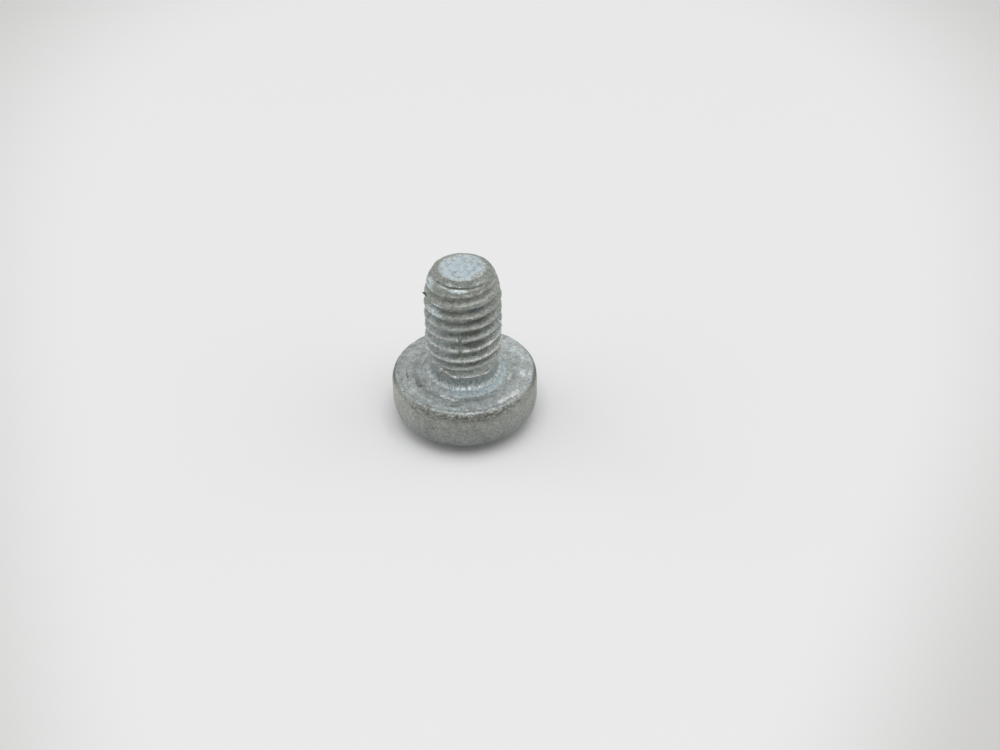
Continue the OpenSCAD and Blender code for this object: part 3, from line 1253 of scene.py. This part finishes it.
def bearing_face(tree, finish, place, blotch, patch):
    """Bluer plating of the bearing face, with painted light and shade from its waves and from where it
    lies.
    """
    radius, turn, front = (place[key] for key in ("Radius", "Turn", "Front"))
    # Pale blotches of the plating, laid half as strongly at the left as at the right: painted light.
    rightish = from_to(tree, ramp(tree, turn, -60, 0), 0.5, 1.0)
    face = coat(tree, rgba(finish.face), finish.pale, 1.0, ramp(tree, blotch, 0.42, 0.75), rightish)
    dull = all_of(tree, ramp(tree, patch, 0.42, 0.68), ramp(tree, radius, 2.8, 3.1))
    face = coat(tree, face, finish.side, 0.6, dull)
    face = shade(tree, face, texture(tree, size=0.45, seed=12), 0.55, 1.45)
    # Painted light and shade: lighter on the raised wave, darker in its hollow.
    high, hollow = band(tree, radius, 3.45, 3.75, 0.25), band(tree, radius, 3.0, 3.12, 0.15)
    face = shade(tree, face, calc(tree, "SUBTRACT", high, hollow), 1.0, 1.1)
    # Painted light and shade: darker at the left, lighter at the right, darker in front and lighter
    # behind.
    face = shade(tree, face, ramp(tree, turn, -100, 70), 0.815, 0.95)
    face = shade(tree, face, ramp(tree, front, 0.55, 0.95), 1.0, 0.9)
    return shade(tree, face, ramp(tree, front, 0.0, -0.6), 1.0, 1.13)


def collar(tree, finish, place, base, on_face):
    """A pale collar with a painted highlight towards the right, and painted shade in the hollow
    outside it, both off centre.
    """
    turn = place["Turn"]
    ring_r = calc(tree, "MULTIPLY_ADD", place["Front"], -0.27, place["Radius"])
    # Painted highlight: the collar's colour grows brighter towards the right.
    ring_highlit = shade(tree, finish.ring, ramp(tree, turn, 10, 80), 0.97, 1.27)
    inside = all_of(tree, on_face, ramp(tree, ring_r, 2.66, 2.54), ramp(tree, turn, -50, 5), 0.9)
    base = blend(tree, inside, base, ring_highlit)
    # Painted shade in the hollow outside the collar.
    return coat(tree, base, finish.soil_and_shade, 0.2, on_face, band(tree, ring_r, 2.66, 2.7, 0.07))


def face_marks(tree, finish, place, base, on_face):
    """Bright flecks and dark pits of the bearing face, most of all in a few places."""
    turn, radius = place["Turn"], place["Radius"]
    outer = all_of(tree, on_face, ramp(tree, radius, 2.8, 3.0))
    fleck = specks(tree, from_to(tree, spots(tree, turn, radius, BRIGHT_FLECKS), 0.24, 0.86), seed=2)
    base = coat(tree, base, finish.bare_and_highlight, 0.85, outer, fleck)
    pit = specks(tree, from_to(tree, spots(tree, turn, radius, DARK_PITS), 0.26, 0.64), seed=5)
    return coat(tree, base, finish.soil_and_shade, 0.6, outer, pit)


def rim(tree, finish, place, base, smear):
    """A rim that is soiled below its edge, most of all in front, and chipped bright on it."""
    radius, height, front = (place[key] for key in ("Radius", "Height", "Front"))
    nearer = ramp(tree, front, 0.45, 0.96)
    below = all_of(tree, band(tree, height, -0.5, -0.16, 0.14), ramp(tree, radius, 4.1, 4.25))
    soiled = ramp(tree, calc(tree, "MULTIPLY_ADD", nearer, 0.12, smear), 0.54, 0.7)
    base = coat(tree, base, finish.soil_and_shade, 0.72, below, soiled)
    grit = specks(tree, from_to(tree, nearer, 0.22, 0.4), seed=3)
    base = coat(tree, base, finish.soil_and_shade, 0.6, below, grit)

    edge = all_of(tree, band(tree, height, -0.14, 0.1, 0.08), ramp(tree, radius, 4.06, 4.16))
    chip = specks(tree, from_to(tree, nearer, 0.1, 0.44), seed=4)
    base = coat(tree, base, finish.bare_and_highlight, 0.45, edge, chip)
    edge = all_of(tree, band(tree, height, -0.25, -0.04, 0.05), ramp(tree, radius, 4.3, 4.42))
    base = coat(tree, base, finish.soil_and_shade, 0.7, edge, ramp(tree, front, 0.6, 0.1))

    # The bright line of the rim's edge is broken by dull places in front.
    edge = all_of(tree, band(tree, height, -0.28, 0.0, 0.06), ramp(tree, radius, 4.08, 4.2))
    broken = ramp(tree, texture(tree, size=0.28, seed=13, detail=3.0, roughness=0.7), 0.6, 0.42)
    return shade(tree, base, all_of(tree, edge, nearer, broken), 1.0, 0.7)


def head_zinc(d, finish):
    """Finish of the head: a dull side, a bluer bearing face and a soiled, chipped rim."""
    material, tree, shader, place = start_material("head_zinc", d)
    radius, height = place["Radius"], place["Height"]
    blotch = texture(tree, size=0.8, seed=3, detail=4.0, roughness=0.6)
    patch = texture(tree, size=0.22, seed=4, detail=3.0, roughness=0.7)
    smear = texture(tree, size=0.3, seed=5, detail=4.0, roughness=0.7, stretch=0.3)
    side = head_side(tree, finish, place, blotch, smear)
    face = bearing_face(tree, finish, place, blotch, patch)
    on_face = all_of(tree, ramp(tree, height, -0.16, -0.04), ramp(tree, radius, 4.5, 4.35))
    base = blend(tree, on_face, side, face)
    base = collar(tree, finish, place, base, on_face)
    base = face_marks(tree, finish, place, base, on_face)
    base = rim(tree, finish, place, base, smear)
    contrast = from_to(tree, ramp(tree, height, -0.5, -0.1), 2.0, 2.3)
    finish_material(tree, shader, finish, base, contrast, patch, patch_height=0.8)
    return material


# Marks on the shank: turn, height, and their reach
# Pale blue places, partly a painted reflection of light from the left
PALE_AND_LIT_FLANKS = (
    (-52, 4.4, 30, 0.4), (-50, 5.4, 30, 0.4), (-44, 3.55, 32, 0.35), (-73, 7.0, 20, 0.5),
    (-6, 7.36, 24, 0.12), (-38, 7.42, 16, 0.06), (-40, 2.7, 30, 0.25), (-40, 6.2, 18, 0.15),
)
# Painted highlights on the chamfer
LEAD_HIGHLIGHTS = ((-24, 7.62, 14, 0.1), (-6, 7.58, 6, 0.05), (40, 7.6, 20, 0.1))
# Dark patches: partly dirt, partly painted shade under the crests
DARK_AND_SHADED_PATCHES = (
    (5, 6.9, 14, 0.14), (28, 6.95, 9, 0.1), (43, 7.08, 9, 0.13), (19, 3.43, 22, 0.18),
    (29, 5.14, 22, 0.18), (12, 4.3, 26, 0.14), (-10, 7.68, 6, 0.04), (20, 7.7, 5, 0.05),
)
STAIN = ((16, 5.93, 12, 0.1), (28, 5.97, 14, 0.1))
BURR_SOIL = ((-68, 6.6, 8, 0.5),)
LIP_SHINE = (
    (-56, 1.46, 7, 0.09), (-49, 1.37, 7, 0.08), (-42, 1.25, 7, 0.08), (-34, 1.16, 8, 0.07),
    (-25, 1.1, 7, 0.06), (-14, 1.03, 8, 0.14), (-9, 1.0, 6, 0.1), (4, 1.05, 10, 0.04),
    (20, 1.05, 12, 0.04), (36, 1.03, 12, 0.04),
)


def flanks(tree, finish, place, blotch, patch):
    """Grey flanks of the thread, more olive higher up, with pale blue places mostly on the left that
    are partly a painted reflection of light from the left.
    """
    turn, height = place["Turn"], place["Height"]
    upper = ramp(tree, height, 3.6, 6.0)
    olive = ramp(tree, calc(tree, "MULTIPLY_ADD", upper, 0.12, blotch), 0.36, 0.76)
    thread = blend(tree, olive, rgba(finish.thread), rgba(finish.olive))
    thread = shade(tree, thread, patch, 0.47, 1.57)
    # Pale blue places of the plating, partly a painted reflection of light from the left.
    pale = spots(tree, turn, height, PALE_AND_LIT_FLANKS)
    thread = coat(tree, thread, finish.pale, 0.95, pale, ramp(tree, patch, 0.3, 0.52))
    sparkle = specks(tree, from_to(tree, ramp(tree, height, 2.6, 1.6), 0.27, 0.37), seed=9)
    thread = coat(tree, thread, finish.bare_and_highlight, 0.5, sparkle)
    return coat(tree, thread, finish.soil_and_shade, 0.35, specks(tree, 0.24, seed=10))


def chamfer(tree, finish, place, base, blotch, patch, aside):
    """The dull chamfer at the tip, painted lighter at the sides and with painted highlights, and
    painted shade in the groove below it.
    """
    turn, height = place["Turn"], place["Height"]
    worn = blend(tree, ramp(tree, patch, 0.45, 0.8), rgba(finish.lead_in), rgba(finish.olive))
    worn = coat(tree, worn, finish.thread, 0.45, ramp(tree, blotch, 0.54, 0.68))
    # Painted light: lighter at the left and right.
    worn = shade(tree, worn, aside, 0.86, 1.38)
    # Painted highlights, in the bearing face's colour and as bright specks.
    highlit = spots(tree, turn, height, LEAD_HIGHLIGHTS)
    worn = coat(tree, worn, finish.face, 0.55, highlit, ramp(tree, patch, 0.35, 0.6))
    on_chamfer = ramp(tree, height, 7.46, 7.58)
    base = blend(tree, on_chamfer, base, worn)
    painted_glints = specks(tree, from_to(tree, highlit, 0.12, 0.42), seed=11)
    base = coat(tree, base, finish.bare_and_highlight, 0.6, on_chamfer, painted_glints)
    # Painted shade along the groove below the chamfer.
    groove = all_of(tree, band(tree, height, 7.47, 7.51, 0.07), band(tree, turn, -18, 28, 30))
    return coat(tree, base, finish.soil_and_shade, 0.45, groove)


def neck(tree, finish, place, base):
    """The darker, streaked neck, with painted highlights along its streaks at the fillet."""
    turn, height = place["Turn"], place["Height"]
    streak = use(tree, streak_group(), {"Size": 0.1})["Value"]
    plain = blend(tree, ramp(tree, streak, 0.35, 0.75), rgba(finish.neck), rgba(finish.face))
    # Painted highlights along the streaks on the fillet, stronger towards the right.
    fillet = all_of(tree, ramp(tree, height, 0.36, 0.22), ramp(tree, streak, 0.4, 0.64))
    rightish = from_to(tree, ramp(tree, turn, -48, -20), 0.15, 0.75)
    plain = coat(tree, plain, finish.bare_and_highlight, 1.0, fillet, rightish)
    foot = all_of(tree, ramp(tree, height, 0.2, 0.14), ramp(tree, turn, -50, 5))
    plain = coat(tree, plain, finish.ring, 1.0, foot)
    return blend(tree, ramp(tree, height, 0.85, 1.0), plain, base)


def crests(tree, finish, place, base):
    """Crests rubbed bright low down and duller higher up, partly a painted highlight that is stronger
    to the right, and the bright lip of the run-out.
    """
    radius, height, turn = (place[key] for key in ("Radius", "Height", "Turn"))
    crest = all_of(tree, ramp(tree, radius, 2.26, 2.35), ramp(tree, height, 0.9, 1.1))
    rub = texture(tree, size=0.1, seed=9, roughness=0.6)
    dulled = ramp(tree, height, 3.0, 5.0)
    rubbed = ramp(tree, calc(tree, "MULTIPLY_ADD", dulled, -0.2, rub), 0.36, 0.62)
    # Painted highlight: the bright crests are stronger towards the right.
    rightish = from_to(tree, ramp(tree, turn, -20, 45), 0.65, 0.95)
    base = coat(tree, base, finish.bare_and_highlight, 1.0, crest, rubbed, rightish)
    lip = spots(tree, turn, height, LIP_SHINE)
    return coat(tree, base, finish.bare_and_highlight, 0.9, lip, ramp(tree, rub, 0.3, 0.5))


def thread_soil(tree, finish, place, base, patch):
    """Painted shade and specks of dirt in the root, dark patches that are partly dirt and partly
    painted shade under crests, a blue stain, and the dark burr.
    """
    radius, height, turn = (place[key] for key in ("Radius", "Height", "Turn"))
    root = all_of(tree, ramp(tree, radius, 2.1, 1.95), band(tree, height, 1.4, 7.2, 0.2))
    # Painted shade in the thread's root, then specks of dirt there.
    base = coat(tree, base, finish.soil_and_shade, 0.12, root)
    base = coat(tree, base, finish.soil_and_shade, 0.3, root, specks(tree, 0.36, seed=6))
    # Dark patches, partly dirt and partly painted shade under the crests.
    dark = spots(tree, turn, height, DARK_AND_SHADED_PATCHES)
    base = coat(tree, base, finish.soil_and_shade, 0.65, dark, ramp(tree, patch, 0.3, 0.55))
    stained = spots(tree, turn, height, STAIN)
    base = coat(tree, base, finish.stain, 0.75, stained, ramp(tree, patch, 0.3, 0.5))
    burr = spots(tree, turn, height, BURR_SOIL)
    return coat(tree, base, finish.soil_and_shade, 1.0, burr, ramp(tree, radius, 2.32, 2.36))


def shank_zinc(d, finish):
    """Finish of the neck, the thread and the lead-in."""
    material, tree, shader, place = start_material("shank_zinc", d)
    blotch = texture(tree, size=0.6, seed=6, detail=4.0, roughness=0.65)
    patch = texture(tree, size=0.32, seed=7, detail=4.0, roughness=0.7, stretch=0.35)
    aside = ramp(tree, calc(tree, "ABSOLUTE", place["Turn"]), 20, 65)
    base = flanks(tree, finish, place, blotch, patch)
    base = chamfer(tree, finish, place, base, blotch, patch, aside)
    base = neck(tree, finish, place, base)
    base = crests(tree, finish, place, base)
    base = thread_soil(tree, finish, place, base, patch)
    # Painted light: lighter at the left and right than in front.
    base = shade(tree, base, aside, 1.0, 1.12)
    finish_material(tree, shader, finish, base, 2.5, patch, patch_height=0.5)
    return material


# Dull places of the tip's flat: turn, radius, and their reach
DULL_TIP = ((50, 1.35, 35, 0.4), (-150, 1.25, 20, 0.15), (100, 1.2, 15, 0.2))


def tip_zinc(d, finish):
    """Finish of the flat at the tip: pale steel blue, with finer and whiter grain."""
    material, tree, shader, place = start_material("tip_zinc", d)
    radius = place["Radius"]
    mottle = texture(tree, size=0.3, seed=10, detail=3.0, roughness=0.7)
    base = blend(tree, ramp(tree, mottle, 0.46, 0.68), rgba(finish.tip), rgba(finish.tip_dark))
    dull = spots(tree, place["Turn"], radius, DULL_TIP)
    base = coat(tree, base, finish.side, 0.85, dull, ramp(tree, mottle, 0.25, 0.45))
    white = specks(tree, from_to(tree, ramp(tree, radius, 0.9, 1.25), 0.26, 0.5), seed=7)
    base = coat(tree, base, finish.bare_and_highlight, 0.85, white)
    base = coat(tree, base, finish.neck, 0.5, specks(tree, 0.26, seed=8))
    rag = texture(tree, size=0.25, seed=11, detail=4.0, roughness=0.7)
    ragged = calc(tree, "MULTIPLY_ADD", rag, 0.9, radius)
    base = coat(tree, base, finish.thread, 0.9, ramp(tree, ragged, 1.74, 1.9))
    finish_material(tree, shader, finish, base, 0.8, mottle, patch_height=1.0)
    return material


# The stage. The floor's painted pool of light is an ellipse that widens with distance from the camera.
POOL_CENTRE = (2 * MM, 11 * MM)
POOL_WIDTH = 29 * MM
POOL_SPREAD = 0.28
POOL_DRIFT = 0.08
POOL_LENGTH = 62 * MM
POOL_EDGE = (0.75, 2.0)


def floor_tone(tree, stage):
    """Colour of the floor: a painted pool of light, dimmer away from it as painted falloff."""
    axes = axes_of(tree, object_place(tree))
    half_width = calc(tree, "MULTIPLY_ADD", axes["Y"], POOL_SPREAD, POOL_WIDTH)
    nearer = calc(tree, "MINIMUM", axes["Y"], 0.0)
    centre_x = calc(tree, "MULTIPLY_ADD", nearer, POOL_DRIFT, POOL_CENTRE[0])
    across = calc(tree, "DIVIDE", calc(tree, "SUBTRACT", axes["X"], centre_x), half_width)
    along = calc(tree, "DIVIDE", calc(tree, "SUBTRACT", axes["Y"], POOL_CENTRE[1]), POOL_LENGTH)
    away = ramp(tree, squares(tree, across, along), *POOL_EDGE)
    return blend(tree, away, rgba(stage.floor), rgba(stage.floor_falloff))


def floor_material(stage):
    """Pale floor that can be looked through from below."""
    material = bpy.data.materials.new("pale_floor")
    tree = empty_tree(material)
    shader = add(tree, "ShaderNodeBsdfDiffuse", {"Color": floor_tone(tree, stage)})
    clear = add(tree, "ShaderNodeBsdfTransparent")
    below = add(tree, "ShaderNodeNewGeometry").outputs["Backfacing"]
    seen = add(tree, "ShaderNodeLightPath").outputs["Is Camera Ray"]
    mixed = add(tree, "ShaderNodeMixShader", {
        0: calc(tree, "MULTIPLY", below, seen), 1: shader.outputs[0], 2: clear.outputs[0],
    })
    add(tree, "ShaderNodeOutputMaterial", {"Surface": mixed.outputs[0]})
    return material


FLOOR_SEGMENTS = 96


def make_floor(stage):
    """A plain round floor."""
    skin = bmesh.new()
    bmesh.ops.create_circle(skin, cap_ends=True, radius=stage.floor_r, segments=FLOOR_SEGMENTS)
    mesh = bpy.data.meshes.new("floor")
    skin.to_mesh(mesh)
    skin.free()
    mesh.materials.append(floor_material(stage))
    floor = make_object("floor", mesh)


# Colours of the light from all round, of its part from the camera's side, and of the background
ROUND_LIGHT = (0.92, 0.92, 0.92, 1)
CAMERA_SIDE_LIGHT = (0.8, 0.8, 0.81, 1)
BACKGROUND = (0.8, 0.8, 0.79, 1)
CAMERA_SIDE = (0.0, -0.85, 0.53)

# Strength of that light from in front and behind, and from the left and right
FRONT_LIGHT = 0.88
SIDE_LIGHT = 2.58

# Where the light changes: how squarely it comes from one side, or from the camera's side
FRONT_TO_SIDE = (0.45, 0.95)
CAMERA_SIDE_EDGE = (0.3, 1.0)


def make_world(stage):
    """Soft light from all round, stronger from the sides and dimmer from the camera's side."""
    world = bpy.data.worlds.new("studio")
    bpy.context.scene.world = world
    tree = empty_tree(world)
    direction = add(tree, "ShaderNodeTexCoord").outputs["Generated"]
    inputs = {0: direction, 1: CAMERA_SIDE}
    towards = add(tree, "ShaderNodeVectorMath", inputs, operation="DOT_PRODUCT")
    dim = ramp(tree, towards.outputs["Value"], *CAMERA_SIDE_EDGE)
    sideways = calc(tree, "ABSOLUTE", axes_of(tree, direction)["X"])
    sideways = ramp(tree, sideways, *FRONT_TO_SIDE)
    strength = from_to(tree, sideways, FRONT_LIGHT, SIDE_LIGHT)
    lit = toned(tree, blend(tree, dim, ROUND_LIGHT, CAMERA_SIDE_LIGHT), strength)
    shader = add(tree, "ShaderNodeBackground", {"Color": lit, "Strength": stage.world})
    plain = add(tree, "ShaderNodeBackground", {"Color": BACKGROUND, "Strength": 1.0})

    # The camera, and metal and glass, see the plain background.
    rays = add(tree, "ShaderNodeLightPath").outputs
    seen = calc(tree, "MAXIMUM", rays["Is Camera Ray"], rays["Is Glossy Ray"])
    seen = calc(tree, "MAXIMUM", seen, rays["Is Transmission Ray"])
    mixed = add(tree, "ShaderNodeMixShader", {0: seen, 1: shader.outputs[0], 2: plain.outputs[0]})
    add(tree, "ShaderNodeOutputWorld", {"Surface": mixed.outputs[0]})


# Place and size of the two soft lamps
KEY_PLACE = (0.03, -0.1, 0.6)
KEY_SIZE = 0.5
FILL_PLACE = (-0.3, 0.15, 0.25)
FILL_SIZE = 0.15


def make_lamp(name, place, size, power):
    """A square soft lamp that looks at the screw."""
    lamp = bpy.data.lights.new(name, "AREA")
    lamp.size = size
    lamp.energy = power
    made = make_object(name, lamp)
    made.location = place
    made.rotation_euler = (-Vector(place)).to_track_quat("-Z", "Y").to_euler()


# Width of the camera's sensor in millimetres, and how near and how far it sees
SENSOR_W = 36
CLIP = (1 * MM, 10)


def make_camera(stage):
    """Camera at the photograph's place, with its tilt and roll."""
    camera = make_object("camera", bpy.data.cameras.new("camera"))
    camera.data.sensor_width = SENSOR_W
    camera.data.lens = stage.camera_lens
    camera.data.clip_start, camera.data.clip_end = CLIP
    tilt, roll = stage.camera_tilt, stage.camera_roll
    right = Vector((1, 0, 0))
    up = Vector((0, math.sin(tilt), math.cos(tilt)))
    back = Vector((0, -math.cos(tilt), math.sin(tilt)))
    turned_right = right * math.cos(roll) - up * math.sin(roll)
    turned_up = up * math.cos(roll) + right * math.sin(roll)
    turned = Matrix((turned_right, turned_up, back)).transposed()
    camera.matrix_world = Matrix.Translation(stage.camera_place) @ turned.to_4x4()
    bpy.context.scene.camera = camera


class SCREW_OT_make_screw(bpy.types.Operator):
    """Makes the zinc-plated screw as one closed piece"""

    bl_idname = "screw.make_screw"
    bl_label = "Make screw"

    def execute(self, context):
        scene = context.scene
        make_screw(scene.screw_sizes, scene.screw_wear, scene.screw_finish)
        return {"FINISHED"}


class SCREW_OT_make_stage(bpy.types.Operator):
    """Makes the floor, the lamps, the world and the camera"""

    bl_idname = "screw.make_stage"
    bl_label = "Make stage"

    def execute(self, context):
        stage = context.scene.screw_stage
        context.scene.view_settings.view_transform = "Standard"
        make_camera(stage)
        make_floor(stage)
        make_world(stage)
        make_lamp("key_lamp", KEY_PLACE, KEY_SIZE, stage.key)
        make_lamp("fill_lamp", FILL_PLACE, FILL_SIZE, stage.fill)
        return {"FINISHED"}


class SCREW_PT_panel(bpy.types.Panel):
    """Lists what the script makes, and the values that it makes it from"""

    bl_label = "Screw"
    bl_idname = "SCREW_PT_panel"
    bl_space_type = "VIEW_3D"
    bl_region_type = "UI"
    bl_category = "Screw"

    def draw(self, context):
        for operator in (SCREW_OT_make_screw, SCREW_OT_make_stage):
            self.layout.operator(operator.bl_idname)
        for name in GROUPS:
            box = self.layout.box()
            box.label(text=name.replace("_", " ").capitalize())
            group = getattr(context.scene, name)
            for value in group.__annotations__:
                box.prop(group, value)


GROUPS = {
    "screw_sizes": ScrewSizes,
    "screw_wear": ScrewWear,
    "screw_finish": ScrewFinish,
    "screw_stage": StageSettings,
}
CLASSES = (*GROUPS.values(), SCREW_OT_make_screw, SCREW_OT_make_stage, SCREW_PT_panel)


def register():
    for item in CLASSES:
        bpy.utils.register_class(item)
    for name, group in GROUPS.items():
        setattr(bpy.types.Scene, name, PointerProperty(type=group))


def unregister():
    for name in GROUPS:
        delattr(bpy.types.Scene, name)
    for item in reversed(CLASSES):
        bpy.utils.unregister_class(item)


def main():
    """Makes everything."""
    register()
    bpy.ops.screw.make_stage()
    bpy.ops.screw.make_screw()


if __name__ == "__main__":
    main()
